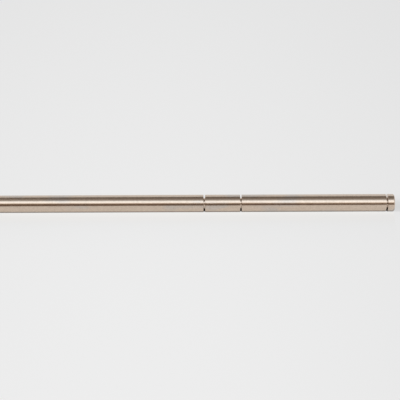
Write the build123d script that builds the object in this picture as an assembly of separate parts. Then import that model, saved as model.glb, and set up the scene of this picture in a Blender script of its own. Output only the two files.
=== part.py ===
from build123d import *

import os

# A ground steel shaft, turned in one piece from bar. Three plunge grooves take
# E-type retaining rings: one just inside the right-hand end, which keeps a
# bearing on, and two further along, which hold a hub between them. The left-hand
# end is plain. All sizes are millimetres. X is the axis of the shaft, and the
# origin is the middle of the bearing seat, between the right-hand groove and
# the middle one.

# The bar
SHAFT_LENGTH = 200.0
SHAFT_DIAMETER = 8.0
END_CHAMFER = 0.4

# What lies between the grooves, from wall to wall
END_LAND_LENGTH = 3.1
BEARING_SEAT_LENGTH = 66.0
HUB_SEAT_LENGTH = 16.0

# A groove for a retaining ring of nominal size 5
GROOVE_WIDTH = 0.74
GROOVE_FLOOR_DIAMETER = 5.0
GROOVE_CORNER_RADIUS = 0.1
GROOVE_EDGE_BREAK = 0.05

SHAFT_RADIUS = SHAFT_DIAMETER / 2
GROOVE_FLOOR_RADIUS = GROOVE_FLOOR_DIAMETER / 2

# Places along X
END_GROOVE_CENTRE = (BEARING_SEAT_LENGTH + GROOVE_WIDTH) / 2
MIDDLE_GROOVE_CENTRE = -END_GROOVE_CENTRE
FAR_GROOVE_CENTRE = MIDDLE_GROOVE_CENTRE - HUB_SEAT_LENGTH - GROOVE_WIDTH
RIGHT_END = END_GROOVE_CENTRE + GROOVE_WIDTH / 2 + END_LAND_LENGTH
LEFT_END = RIGHT_END - SHAFT_LENGTH


def groove_outline(centre):
    """One groove from left to right: its broken edge, wall, floor, wall and broken edge."""
    left_wall = centre - GROOVE_WIDTH / 2
    right_wall = centre + GROOVE_WIDTH / 2
    edge_radius = SHAFT_RADIUS - GROOVE_EDGE_BREAK
    return [
        (left_wall - GROOVE_EDGE_BREAK, SHAFT_RADIUS),
        (left_wall, edge_radius),
        (left_wall, GROOVE_FLOOR_RADIUS),
        (right_wall, GROOVE_FLOOR_RADIUS),
        (right_wall, edge_radius),
        (right_wall + GROOVE_EDGE_BREAK, SHAFT_RADIUS),
    ]


def half_section():
    """The shaft's section on one side of its axis, with a radius in each groove's corners."""
    end_face_radius = SHAFT_RADIUS - END_CHAMFER
    outline = [
        (LEFT_END, 0.0),
        (LEFT_END, end_face_radius),
        (LEFT_END + END_CHAMFER, SHAFT_RADIUS),
    ]
    for centre in (FAR_GROOVE_CENTRE, MIDDLE_GROOVE_CENTRE, END_GROOVE_CENTRE):
        outline += groove_outline(centre)
    outline += [
        (RIGHT_END - END_CHAMFER, SHAFT_RADIUS),
        (RIGHT_END, end_face_radius),
        (RIGHT_END, 0.0),
    ]
    section = make_face(Polyline(*outline, close=True))
    # The lowest corners lie on the axis, and the next ones up are those of the groove floors
    floor_corners = section.vertices().group_by(Axis.Y)[1]
    return fillet(floor_corners, GROOVE_CORNER_RADIUS)


def shaft():
    """The finished shaft: its half section turned once about the axis."""
    turned = revolve(half_section(), axis=Axis.X)
    turned.label = "shaft"
    return turned


def main():
    os.makedirs("parts", exist_ok=True)
    export_step(shaft(), "parts/shaft.step")


main()
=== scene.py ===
import math

import bmesh
import bpy
from mathutils import Matrix, Vector


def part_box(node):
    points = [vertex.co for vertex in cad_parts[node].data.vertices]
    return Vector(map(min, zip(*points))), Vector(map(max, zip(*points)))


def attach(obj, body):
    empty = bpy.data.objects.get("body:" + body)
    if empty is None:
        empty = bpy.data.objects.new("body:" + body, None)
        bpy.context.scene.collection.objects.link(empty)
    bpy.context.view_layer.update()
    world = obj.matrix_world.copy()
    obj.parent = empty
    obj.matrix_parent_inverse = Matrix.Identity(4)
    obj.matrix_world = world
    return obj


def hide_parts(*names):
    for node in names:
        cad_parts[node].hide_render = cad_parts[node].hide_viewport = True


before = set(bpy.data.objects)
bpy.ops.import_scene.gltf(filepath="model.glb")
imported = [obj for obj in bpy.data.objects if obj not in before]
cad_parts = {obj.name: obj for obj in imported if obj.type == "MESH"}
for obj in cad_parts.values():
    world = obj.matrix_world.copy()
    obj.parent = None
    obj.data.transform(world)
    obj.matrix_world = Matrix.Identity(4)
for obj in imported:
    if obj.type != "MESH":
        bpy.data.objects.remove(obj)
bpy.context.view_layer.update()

# A ground steel shaft with three grooves for retaining rings, on a pale table in a studio.
# X runs along the shaft's axis, Y away from the camera and Z up. Lengths are in metres and
# angles in radians, unless a name or a comment says otherwise.

# The shaft's sizes, as its drawing has them. Its place comes from the frame.
RADIUS = 0.004
END_CHAMFER = 0.0004
CHAMFER_DEGREES = 45.0
END_LAND = 0.0031
BEARING_SEAT = 0.0660
HUB_SEAT = 0.0160
GROOVE_WIDTH = 0.00074
GROOVE_FLOOR_RADIUS = 0.0025
GROOVE_CORNER_RADIUS = 0.0001
GROOVE_EDGE_RADIUS = 0.00005
CHAMFER_EDGE_RADIUS = 0.00003

LOW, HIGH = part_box("shaft")
LEFT_END = LOW.x
RIGHT_END = HIGH.x
FLOOR_Z = -RADIUS
END_GROOVE = RIGHT_END - END_LAND - GROOVE_WIDTH / 2.0
MIDDLE_GROOVE = END_GROOVE - BEARING_SEAT - GROOVE_WIDTH
FAR_GROOVE = MIDDLE_GROOVE - HUB_SEAT - GROOVE_WIDTH

# How finely the shaft is divided: round the axis, on each rounding and along its runs. A
# ring close to each end of a run keeps the rounding next to it from bending the light
# along the run. Runs too short for two such rings stay whole.
SEGMENTS = 192
ARC_STEPS = 4
LONGEST_RUN = 0.004
HOLDING_RING = 0.00003
SHORTEST_DIVIDED_RUN = 4.0 * HOLDING_RING

# Material slots, and how near the full radius a face lies that counts as ground
GROUND = 0
TURNED = 1
ON_OUTSIDE = 0.000001

# Ranges that values are often carried to
RISING = (0.0, 1.0)
FALLING = (1.0, 0.0)

# The range in which Blender's noise mostly lies, and the detail of most patterns
NOISE_RANGE = (0.3, 0.7)
PLAIN_DETAIL = 2.0

# The steel's colours. Sizes of patterns are along the axis and round it.
STEEL_TAN = (0.625, 0.508, 0.410)
STEEL_GREY = (0.565, 0.492, 0.430)
STEEL_TURNED = (0.60, 0.49, 0.40)
# Clouds of the greyer steel. Their noise is shifted by the start, so that some of them lie
# about where the photograph shows them.
CLOUD_SIZE = (0.018, 0.006)
CLOUD_START = (3.83, 0.0, 0.0)
CLOUD_RANGE = (0.56, 0.68)
# The grain, and how much lighter and darker it makes each steel
GRAIN_SIZE = (0.0012, 0.0012)
GRAIN_SHADE = 0.050
TURNED_SHADE = 0.10
# Patches rubbed smoother or duller, between these roughnesses
RUB_SIZE = (0.004, 0.003)
RUB_DETAIL = 3.0
ROUGHNESS_RANGE = (0.15, 0.21)
TURNED_ROUGHNESS_RANGE = (0.17, 0.23)
# How strongly the lay round the axis makes each steel blur reflections across the lay more
# than along it, and the quarter turn from the direction in which Blender's own blur runs
GROUND_LAY = 0.6
TURNED_LAY = 0.5
LAY_ROTATION = 0.25
# Unevenness of the ground surface: a long swell, small waves, scratches and grinding lines
SWELL_SIZE = (0.022, 0.010)
SWELL_DETAIL = 1.0
SWELL_HEIGHT = 0.00007
WAVE_SIZE = (0.0011, 0.0011)
WAVE_HEIGHT = 0.0000016
SCRATCH_SIZE = (0.00045, 0.0012)
SCRATCH_HEIGHT = 0.0000045
GRINDING_SIZE = (0.00010, 0.004)
GRINDING_HEIGHT = 0.0000006
GRINDING_SHADE = 0.055
# The rings that the tool left: their spacing and height
TOOL_FEED = 0.00012
TOOL_MARK_HEIGHT = 0.0000004

# The photograph's frame, where the shaft is in it, and how the camera was turned
IMAGE_WIDTH_PIXELS = 400.0
FOCAL_PIXELS = 1130.0
SHAFT_PIXELS = 17.43
AXIS_ABOVE_CENTRE_PIXELS = -3.40
CENTRE_TO_END_PIXELS = 193.71
CAMERA_ELEVATION = math.radians(45.0)
CAMERA_ROLL = math.radians(-0.227)
SENSOR_WIDTH_MILLIMETRES = 36.0
CLIP_START = 0.01

# The studio as the shaft sees it: the colour of its surroundings at each angle about the
# shaft's axis, in degrees, from below (-90) over the level in front (0) and straight up
# (90) to the level behind (180). The nodes hold colours as shares of BRIGHTEST.
BRIGHTEST = 2.0
SURROUNDINGS = [
    (-90.0, (0.82, 0.82, 0.82)),
    (14.2, (0.82, 0.82, 0.82)),
    (18.2, (0.190, 0.136, 0.108)),
    (46.0, (0.190, 0.136, 0.108)),
    (92.0, (0.262, 0.236, 0.218)),
    (112.0, (0.262, 0.234, 0.216)),
    (130.0, (0.200, 0.178, 0.162)),
    (142.0, (0.200, 0.178, 0.162)),
    (144.5, (0.83, 0.855, 0.88)),
    (180.0, (0.83, 0.855, 0.88)),
]
# The softbox above the camera, which adds its light at these angles
SOFTBOX = [
    (39.2, (0.0, 0.0, 0.0)),
    (48.0, (0.57, 0.52, 0.405)),
    (54.5, (1.31, 1.45, 1.59)),
    (73.5, (1.33, 1.52, 1.70)),
    (84.5, (0.48, 0.54, 0.59)),
    (94.5, (0.15, 0.17, 0.18)),
    (108.5, (0.0, 0.0, 0.0)),
]
# To each side it fades out between these sines of the angle from straight across the shaft.
SOFTBOX_REACH = (0.75, 0.90)
# It climbs to the left. These are the angles of its lower and its upper edge, and about how
# much higher each edge would be straight to the left than straight across the shaft.
SOFTBOX_EDGES = (math.radians(48.0), math.radians(85.0))
SOFTBOX_TILTS = (math.radians(18.0), math.radians(9.0))
# A pale backdrop stands all round. At its foot it is as bright as the far floor, and from
# there it rises to its own brightness. Both ranges are sines of the angle above the level:
# where it rises, and where it ends at its top.
BACKDROP_FOOT = (0.745, 0.745, 0.745)
BACKDROP = (0.84, 0.84, 0.84)
BACKDROP_RISE = (-0.03, 0.07)
BACKDROP_TOP = (0.12, 0.20)

# The lamps, behind on the left and in front on the right: the direction in which each
# stands, how wide it looks in degrees, and its strength
LAMPS = [
    ((-0.74, 0.38, 0.55), 54.0, 1.0),
    ((0.76, -0.56, 0.34), 54.0, 0.6),
]

# The floor, and the shares of it that shine by themselves for the eye and in reflections
FLOOR_HALF_SIZE = 3.0
FLOOR_COLOUR = (0.83, 0.83, 0.83)
FLOOR_ROUGHNESS = 0.6
FLOOR_SPECULAR = 0.2
GLOW_SEEN = 0.96
GLOW_MIRRORED = 0.75
# The glow that the eye sees is painted as an oval pool of light: where its middle is, with X
# from the shaft's right end, how much narrower it is in X than in Y, how far it reaches in
# Y, and how bright it is in its middle and outside it.
POOL_MIDDLE = (-0.121, -0.150)
POOL_NARROWING = 1.86
POOL_REACH = 0.59
POOL_LEVELS = (0.855, 0.748)
# The glow that the shaft mirrors rises to its level with the distance from the line on
# which the shaft rests: a painted shade along that line, seen in reflections.
MIRRORED_LEVEL = 0.905
MIRRORED_SHADE_RISE = (0.0015, 0.0058)
# The eye sees so little of the lit floor that the shaft's shade there is painted, mostly, by
# two tables that multiply the glow. The first one holds along the shaft, by the distance
# behind its axis. It paints the floor under the shaft nearly black, as no light reaches it,
# a little light just in front, where the shaft throws light on the floor, and beyond that,
# as behind it, the shaft's shade.
PAINTED_SHADE_ALONG = [
    (-0.025, (1.0, 1.0, 1.0)),
    (-0.016, (0.995, 0.995, 0.995)),
    (-0.0116, (0.990, 0.990, 0.990)),
    (-0.0095, (0.984, 0.984, 0.980)),
    (-0.0077, (0.980, 0.975, 0.969)),
    (-0.0064, (0.990, 0.980, 0.967)),
    (-0.0051, (0.995, 0.983, 0.968)),
    (-0.0038, (1.015, 1.003, 0.984)),
    (-0.0025, (1.06, 1.05, 1.028)),
    (-0.0017, (1.065, 1.045, 1.03)),
    (-0.0010, (0.011, 0.006, 0.004)),
    (0.0010, (0.011, 0.006, 0.004)),
    (0.0025, (0.55, 0.55, 0.55)),
    (0.0060, (0.85, 0.85, 0.85)),
    (0.0100, (1.0, 1.0, 1.0)),
]
# The second one paints the shaft's shadow past the right end, where the shaft keeps off
# light from the left.
PAINTED_SHADE_PAST_END = [
    (-0.0022, (1.0, 1.0, 1.0)),
    (-0.0012, (0.87, 0.87, 0.87)),
    (0.0010, (0.83, 0.83, 0.83)),
    (0.0040, (0.86, 0.86, 0.86)),
    (0.0070, (0.97, 0.97, 0.97)),
    (0.0100, (1.0, 1.0, 1.0)),
]
# Past either end, the first table fades out over the first distances. Past the right end,
# the second table fades in over the same ones, and out over the second distances.
END_FADE = (0.0, 0.0004)
PAST_END_FADE = (0.003, 0.012)


def add_camera():
    """A camera in front of the shaft, looking down at it, as the photograph was taken."""
    metres_per_pixel = 2.0 * RADIUS / SHAFT_PIXELS
    distance = FOCAL_PIXELS * metres_per_pixel
    data = bpy.data.cameras.new("camera")
    data.sensor_width = SENSOR_WIDTH_MILLIMETRES
    data.lens = SENSOR_WIDTH_MILLIMETRES * FOCAL_PIXELS / IMAGE_WIDTH_PIXELS
    data.clip_start = CLIP_START
    camera = bpy.data.objects.new("camera", data)
    bpy.context.scene.collection.objects.link(camera)
    bpy.context.scene.camera = camera
    forward = Vector((0.0, math.cos(CAMERA_ELEVATION), -math.sin(CAMERA_ELEVATION)))
    up = Vector((0.0, math.sin(CAMERA_ELEVATION), math.cos(CAMERA_ELEVATION)))
    seen_x = RIGHT_END - CENTRE_TO_END_PIXELS * metres_per_pixel
    aim = Vector((seen_x, 0.0, 0.0)) - up * AXIS_ABOVE_CENTRE_PIXELS * metres_per_pixel
    tilt = Matrix.Rotation(math.pi / 2.0 - CAMERA_ELEVATION, 4, "X")
    roll = Matrix.Rotation(CAMERA_ROLL, 4, "Z")
    camera.matrix_world = Matrix.Translation(aim - forward * distance) @ tilt @ roll


def arc(centre_x, centre_r, radius, first_degrees, last_degrees):
    """Points on an arc of the outline, with angles measured from +X towards larger radii."""
    points = []
    for step in range(ARC_STEPS + 1):
        angle = math.radians(first_degrees + (last_degrees - first_degrees) * step / ARC_STEPS)
        points.append((centre_x + radius * math.cos(angle), centre_r + radius * math.sin(angle)))
    return points


def groove_outline(centre):
    """One groove from left to right: rounded edge, wall, corner, floor and back up."""
    left = centre - GROOVE_WIDTH / 2.0
    right = centre + GROOVE_WIDTH / 2.0
    edge = GROOVE_EDGE_RADIUS
    corner = GROOVE_CORNER_RADIUS
    points = arc(left - edge, RADIUS - edge, edge, 90.0, 0.0)
    points += arc(left + corner, GROOVE_FLOOR_RADIUS + corner, corner, 180.0, 270.0)
    points += arc(right - corner, GROOVE_FLOOR_RADIUS + corner, corner, 270.0, 360.0)
    points += arc(right + edge, RADIUS - edge, edge, 180.0, 90.0)
    return points


def end_outline(end_x, outward):
    """One end from its middle outwards: flat face and chamfer with softened edges. Outward
    is the end's direction along X, 1 or -1."""
    edge = CHAMFER_EDGE_RADIUS
    back = edge * math.tan(math.radians(CHAMFER_DEGREES / 2.0))
    face_edge = (end_x - outward * edge, RADIUS - END_CHAMFER - back)
    side_edge = (end_x - outward * (END_CHAMFER + back), RADIUS - edge)
    softened = ((face_edge, 0.0, CHAMFER_DEGREES), (side_edge, CHAMFER_DEGREES, 90.0))
    points = [(end_x, 0.0)]
    for centre, first_degrees, last_degrees in softened:
        for x, r in arc(0.0, centre[1], edge, first_degrees, last_degrees):
            points.append((centre[0] + outward * x, r))
    return points


def outline():
    """Half the shaft's outline, from the middle of its left end to that of its right one."""
    points = end_outline(LEFT_END, -1.0)
    for centre in (FAR_GROOVE, MIDDLE_GROOVE, END_GROOVE):
        points += groove_outline(centre)
    points += reversed(end_outline(RIGHT_END, 1.0))
    return points


def run_shares(length):
    """Where a run of the outline is divided, as shares of its length: evenly, and with a
    holding ring close to each end."""
    if length < SHORTEST_DIVIDED_RUN:
        return [1.0]
    shares = [HOLDING_RING / length]
    count = max(1, math.ceil(length / LONGEST_RUN))
    shares += [step / count for step in range(1, count)]
    return shares + [1.0 - HOLDING_RING / length, 1.0]


def divided(points):
    """The same outline with its long runs divided."""
    result = [points[0]]
    for (x0, r0), (x1, r1) in zip(points, points[1:]):
        for share in run_shares(math.hypot(x1 - x0, r1 - r0)):
            result.append((x0 + (x1 - x0) * share, r0 + (r1 - r0) * share))
    return result


def ring_of(bm, x, r):
    """The vertices at one point of the outline, round the axis. A point on the axis has only
    one, which stands for all of them."""
    if r == 0.0:
        return [bm.verts.new((x, 0.0, 0.0))] * SEGMENTS
    angles = [2.0 * math.pi * i / SEGMENTS for i in range(SEGMENTS)]
    return [bm.verts.new((x, r * math.cos(a), r * math.sin(a))) for a in angles]


def lathe(name, points):
    """A closed solid of revolution about X: ground on the outside diameter, turned elsewhere."""
    bm = bmesh.new()
    rings = [ring_of(bm, x, r) for x, r in points]
    for index in range(len(rings) - 1):
        first = rings[index]
        second = rings[index + 1]
        on_outside = min(points[index][1], points[index + 1][1]) > RADIUS - ON_OUTSIDE
        for i in range(SEGMENTS):
            j = (i + 1) % SEGMENTS
            corners = dict.fromkeys((first[i], first[j], second[j], second[i]))
            face = bm.faces.new(list(corners))
            face.smooth = True
            face.material_index = GROUND if on_outside else TURNED
    bmesh.ops.recalc_face_normals(bm, faces=bm.faces)
    mesh = bpy.data.meshes.new(name)
    bm.to_mesh(mesh)
    bm.free()
    piece = bpy.data.objects.new(name, mesh)
    bpy.context.scene.collection.objects.link(piece)
    return piece


def feed(tree, socket, value):
    """Links a socket to another one, or gives it a number or a colour of its own."""
    if isinstance(value, bpy.types.NodeSocket):
        tree.links.new(value, socket)
    else:
        socket.default_value = value


def coordinates(tree, kind):
    """The shaded point's coordinates, or in the world those of the direction looked in."""
    where = tree.nodes.new("ShaderNodeTexCoord")
    split = tree.nodes.new("ShaderNodeSeparateXYZ")
    tree.links.new(where.outputs[kind], split.inputs["Vector"])
    return split.outputs["X"], split.outputs["Y"], split.outputs["Z"]


def calculated(tree, operation, *values):
    """The result of one calculation on sockets or numbers."""
    node = tree.nodes.new("ShaderNodeMath")
    node.operation = operation
    for socket, value in zip(node.inputs, values):
        feed(tree, socket, value)
    return node.outputs["Value"]


def length_of(tree, first, second):
    """The length of a line from its two parts."""
    first_squared = calculated(tree, "MULTIPLY", first, first)
    second_squared = calculated(tree, "MULTIPLY", second, second)
    return calculated(tree, "SQRT", calculated(tree, "ADD", first_squared, second_squared))


def spread(tree, value, from_range, to_range, kind="LINEAR"):
    """A value carried from one range to another, and held at the ends of that."""
    spreading = tree.nodes.new("ShaderNodeMapRange")
    spreading.interpolation_type = kind
    spreading.inputs["From Min"].default_value = from_range[0]
    spreading.inputs["From Max"].default_value = from_range[1]
    spreading.inputs["To Min"].default_value = to_range[0]
    spreading.inputs["To Max"].default_value = to_range[1]
    tree.links.new(value, spreading.inputs["Value"])
    return spreading.outputs["Result"]


def opaque(colour):
    """A colour as a colour socket holds it, with an alpha of 1."""
    return colour + (1.0,)


def mixed(tree, blend, factor, first, second):
    """Two colours blended by a factor, which is the share of the second one."""
    mix = tree.nodes.new("ShaderNodeMix")
    mix.data_type = "RGBA"
    mix.blend_type = blend
    tree.links.new(factor, mix.inputs["Factor"])
    colours = [socket for socket in mix.inputs if socket.type == "RGBA"]
    feed(tree, colours[0], first)
    feed(tree, colours[1], second)
    return [socket for socket in mix.outputs if socket.type == "RGBA"][0]


def product(tree, first, second):
    """A colour times another colour, or times a number."""
    multiplying = tree.nodes.new("ShaderNodeVectorMath")
    multiplying.operation = "MULTIPLY"
    feed(tree, multiplying.inputs[0], first)
    feed(tree, multiplying.inputs[1], second)
    return multiplying.outputs["Vector"]


def ramp_of(tree, value, stops):
    """A colour by a value, from a table of stops."""
    first = stops[0][0]
    last = stops[-1][0]
    ramp = tree.nodes.new("ShaderNodeValToRGB")
    elements = ramp.color_ramp.elements
    elements.remove(elements[1])
    for index, (place, colour) in enumerate(stops):
        position = (place - first) / (last - first)
        element = elements[0] if index == 0 else elements.new(position)
        element.position = position
        element.color = opaque(colour)
    tree.links.new(spread(tree, value, (first, last), RISING), ramp.inputs["Fac"])
    return ramp.outputs["Color"]


def share_of_brightest(colour):
    """A colour as a share of the brightest one that the world's nodes can hold."""
    return tuple(value / BRIGHTEST for value in colour)


def angle_ramp(tree, angle, stops):
    """A colour by the angle about the shaft's axis, from a table in degrees."""
    shares = [(math.radians(degrees), share_of_brightest(colour)) for degrees, colour in stops]
    return ramp_of(tree, angle, shares)


def noise(tree, size, detail=PLAIN_DETAIL, start=(0.0, 0.0, 0.0)):
    """A noise whose features are about the given size, along the axis and round it."""
    where = tree.nodes.new("ShaderNodeTexCoord")
    scaled = tree.nodes.new("ShaderNodeMapping")
    scaled.inputs["Location"].default_value = start
    scaled.inputs["Scale"].default_value = (1.0 / size[0], 1.0 / size[1], 1.0 / size[1])
    texture = tree.nodes.new("ShaderNodeTexNoise")
    texture.inputs["Scale"].default_value = 1.0
    texture.inputs["Detail"].default_value = detail
    tree.links.new(where.outputs["Object"], scaled.inputs["Vector"])
    tree.links.new(scaled.outputs["Vector"], texture.inputs["Vector"])
    return texture.outputs["Fac"]


def shade(tree, pattern, strength):
    """A factor around 1, which a noise makes smaller and larger by up to the given share."""
    return spread(tree, pattern, NOISE_RANGE, (1.0 - strength, 1.0 + strength))


def bump(tree, height, distance, below=None):
    """A normal from a height that runs from 0 to 1 and stands for a distance, laid over
    the bumps below it."""
    bumping = tree.nodes.new("ShaderNodeBump")
    bumping.inputs["Distance"].default_value = distance
    tree.links.new(height, bumping.inputs["Height"])
    if below is not None:
        tree.links.new(below, bumping.inputs["Normal"])
    return bumping.outputs["Normal"]


def new_steel(name, lay):
    """Steel whose lay round the axis blurs reflections across the lay more than along it:
    the material, its nodes and its shader."""
    material = bpy.data.materials.new(name)
    material.use_nodes = True
    tree = material.node_tree
    shader = tree.nodes["Principled BSDF"]
    shader.inputs["Metallic"].default_value = 1.0
    shader.inputs["Anisotropic"].default_value = lay
    shader.inputs["Anisotropic Rotation"].default_value = LAY_ROTATION
    tangent = tree.nodes.new("ShaderNodeTangent")
    tangent.direction_type = "RADIAL"
    tangent.axis = "X"
    tree.links.new(tangent.outputs["Tangent"], shader.inputs["Tangent"])
    return material, tree, shader


def ground_steel():
    """The ground outside: tan steel with greyer clouds, a fine grain and grinding lines."""
    material, tree, shader = new_steel("ground_steel", GROUND_LAY)
    clouds = spread(tree, noise(tree, CLOUD_SIZE, start=CLOUD_START), CLOUD_RANGE, RISING)
    colour = mixed(tree, "MIX", clouds, opaque(STEEL_TAN), opaque(STEEL_GREY))
    grain_shade = shade(tree, noise(tree, GRAIN_SIZE), GRAIN_SHADE)
    grinding = noise(tree, GRINDING_SIZE)
    grinding_shade = shade(tree, grinding, GRINDING_SHADE)
    both_shades = calculated(tree, "MULTIPLY", grain_shade, grinding_shade)
    tree.links.new(product(tree, colour, both_shades), shader.inputs["Base Color"])
    rough = spread(tree, noise(tree, RUB_SIZE, RUB_DETAIL), NOISE_RANGE, ROUGHNESS_RANGE)
    tree.links.new(rough, shader.inputs["Roughness"])
    swell = bump(tree, noise(tree, SWELL_SIZE, SWELL_DETAIL), SWELL_HEIGHT)
    waves = bump(tree, noise(tree, WAVE_SIZE), WAVE_HEIGHT, swell)
    scratches = bump(tree, noise(tree, SCRATCH_SIZE), SCRATCH_HEIGHT, waves)
    lines = bump(tree, grinding, GRINDING_HEIGHT, scratches)
    tree.links.new(lines, shader.inputs["Normal"])
    return material


def turned_steel():
    """Grooves, chamfers and end faces, left as turned: duller, with the tool's fine rings."""
    material, tree, shader = new_steel("turned_steel", TURNED_LAY)
    grain_shade = shade(tree, noise(tree, GRAIN_SIZE), TURNED_SHADE)
    tree.links.new(product(tree, STEEL_TURNED, grain_shade), shader.inputs["Base Color"])
    rubbed = noise(tree, GRAIN_SIZE, RUB_DETAIL)
    rough = spread(tree, rubbed, NOISE_RANGE, TURNED_ROUGHNESS_RANGE)
    tree.links.new(rough, shader.inputs["Roughness"])
    x, y, z = coordinates(tree, "Object")
    # The tool moves along the axis on the floors and inwards on the faces, so its rings
    # follow the sum of the two.
    path = calculated(tree, "ADD", x, length_of(tree, y, z))
    turns = calculated(tree, "MULTIPLY", path, 2.0 * math.pi / TOOL_FEED)
    height = spread(tree, calculated(tree, "SINE", turns), (-1.0, 1.0), RISING)
    tree.links.new(bump(tree, height, TOOL_MARK_HEIGHT), shader.inputs["Normal"])
    return material


def add_world():
    """The studio: dark and pale surroundings by the angle about the shaft's axis, with a
    softbox over them and a pale backdrop all round, the same for every ray."""
    world = bpy.data.worlds.new("studio")
    bpy.context.scene.world = world
    world.use_nodes = True
    tree = world.node_tree
    tree.nodes.clear()
    x, y, z = coordinates(tree, "Generated")
    angle = calculated(tree, "ARCTAN2", z, calculated(tree, "MULTIPLY", y, -1.0))
    surroundings = angle_ramp(tree, angle, SURROUNDINGS)

    rise = spread(tree, z, BACKDROP_RISE, RISING, "SMOOTHSTEP")
    foot = opaque(share_of_brightest(BACKDROP_FOOT))
    wall = opaque(share_of_brightest(BACKDROP))
    backdrop = mixed(tree, "MIX", rise, foot, wall)
    over_backdrop = spread(tree, z, BACKDROP_TOP, RISING, "SMOOTHSTEP")
    room = mixed(tree, "MIX", over_backdrop, backdrop, surroundings)

    climb = calculated(tree, "MULTIPLY", x, spread(tree, angle, SOFTBOX_EDGES, SOFTBOX_TILTS))
    softbox = angle_ramp(tree, calculated(tree, "ADD", angle, climb), SOFTBOX)
    aside = calculated(tree, "ABSOLUTE", x)
    in_reach = spread(tree, aside, SOFTBOX_REACH, FALLING, "SMOOTHSTEP")
    colour = mixed(tree, "ADD", in_reach, room, softbox)

    background = tree.nodes.new("ShaderNodeBackground")
    background.inputs["Strength"].default_value = BRIGHTEST
    tree.links.new(colour, background.inputs["Color"])
    output = tree.nodes.new("ShaderNodeOutputWorld")
    tree.links.new(background.outputs["Background"], output.inputs["Surface"])


def add_lamps():
    """Wide, soft lamps to the sides, clear of the long reflection that the camera sees."""
    for number, (direction, width_degrees, strength) in enumerate(LAMPS):
        name = "lamp_%d" % number
        data = bpy.data.lights.new(name, "SUN")
        data.angle = math.radians(width_degrees)
        data.energy = strength
        lamp = bpy.data.objects.new(name, data)
        bpy.context.scene.collection.objects.link(lamp)
        towards = Vector(direction).normalized()
        lamp.location = towards
        lamp.rotation_euler = (-towards).to_track_quat("-Z", "Y").to_euler()


def painted_pool_of_light(tree, x, y):
    """How bright the painted pool of light makes the floor's seen glow, away from the shaft."""
    aside = calculated(tree, "SUBTRACT", x, RIGHT_END + POOL_MIDDLE[0])
    narrowed = calculated(tree, "MULTIPLY", aside, POOL_NARROWING)
    away = calculated(tree, "SUBTRACT", y, POOL_MIDDLE[1])
    distance = length_of(tree, narrowed, away)
    return spread(tree, distance, (0.0, POOL_REACH), POOL_LEVELS, "SMOOTHSTEP")


def seen_glow_with_painted_shade(tree, x, y, past_right, past_end):
    """The colour of the floor's glow as the eye sees it, with the shaft's shade and shadow and a
    pool of light painted into it.
    """
    white = (1.0, 1.0, 1.0, 1.0)
    is_past_end = spread(tree, past_end, END_FADE, RISING)
    along = mixed(tree, "MIX", is_past_end, ramp_of(tree, y, PAINTED_SHADE_ALONG), white)
    is_past_right = spread(tree, past_right, END_FADE, RISING)
    in_reach = spread(tree, past_right, PAST_END_FADE, FALLING, "SMOOTHSTEP")
    shaded = calculated(tree, "MULTIPLY", is_past_right, in_reach)
    past = mixed(tree, "MIX", shaded, white, ramp_of(tree, y, PAINTED_SHADE_PAST_END))
    return product(tree, product(tree, along, past), painted_pool_of_light(tree, x, y))


def mirrored_glow_with_painted_shade(tree, y, past_end):
    """How bright the floor's glow is in reflections, with a painted shade along the line on
    which the shaft rests.
    """
    distance = length_of(tree, past_end, y)
    return spread(tree, distance, MIRRORED_SHADE_RISE, (0.0, MIRRORED_LEVEL), "SMOOTHSTEP")


def pale_floor():
    """A pale floor, lit by the lamps and the world. For the eye nearly all of it shines by
    itself instead, and in reflections most of it does. The shaft's shade and a pool of light are
    painted into that glow."""
    material = bpy.data.materials.new("floor")
    material.use_nodes = True
    tree = material.node_tree
    shader = tree.nodes["Principled BSDF"]
    shader.inputs["Base Color"].default_value = opaque(FLOOR_COLOUR)
    shader.inputs["Roughness"].default_value = FLOOR_ROUGHNESS
    shader.inputs["Specular IOR Level"].default_value = FLOOR_SPECULAR

    x, y, _ = coordinates(tree, "Object")
    past_right = calculated(tree, "SUBTRACT", x, RIGHT_END)
    past_left = calculated(tree, "SUBTRACT", LEFT_END, x)
    past_either = calculated(tree, "MAXIMUM", past_right, past_left)
    past_end = calculated(tree, "MAXIMUM", past_either, 0.0)

    path = tree.nodes.new("ShaderNodeLightPath")
    seen = path.outputs["Is Camera Ray"]
    glossy = path.outputs["Is Glossy Ray"]
    transmitted = path.outputs["Is Transmission Ray"]
    mirrored = calculated(tree, "MAXIMUM", glossy, transmitted)
    seen_share = calculated(tree, "MULTIPLY", seen, GLOW_SEEN)
    mirrored_share = calculated(tree, "MULTIPLY", mirrored, GLOW_MIRRORED)
    share = calculated(tree, "ADD", seen_share, mirrored_share)

    glow_to_eye = seen_glow_with_painted_shade(tree, x, y, past_right, past_end)
    glow_to_metal = mirrored_glow_with_painted_shade(tree, y, past_end)
    glow = tree.nodes.new("ShaderNodeEmission")
    tree.links.new(mixed(tree, "MIX", seen, glow_to_metal, glow_to_eye), glow.inputs["Color"])

    mix = tree.nodes.new("ShaderNodeMixShader")
    tree.links.new(share, mix.inputs["Fac"])
    tree.links.new(shader.outputs["BSDF"], mix.inputs[1])
    tree.links.new(glow.outputs["Emission"], mix.inputs[2])
    output = tree.nodes["Material Output"]
    tree.links.new(mix.outputs["Shader"], output.inputs["Surface"])
    return material


def add_floor():
    """The table under the shaft, reaching far past the camera's view."""
    half = FLOOR_HALF_SIZE
    corners = [(-half, -half), (half, -half), (half, half), (-half, half)]
    mesh = bpy.data.meshes.new("floor")
    mesh.from_pydata([(x, y, FLOOR_Z) for x, y in corners], [], [(0, 1, 2, 3)])
    mesh.materials.append(pale_floor())
    floor = bpy.data.objects.new("floor", mesh)
    bpy.context.scene.collection.objects.link(floor)


bpy.context.scene.view_settings.view_transform = "Standard"
add_camera()
add_world()
add_lamps()
add_floor()
shaft = lathe("ground_shaft", divided(outline()))
shaft.data.materials.append(ground_steel())
shaft.data.materials.append(turned_steel())
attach(shaft, "root")
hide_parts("shaft")
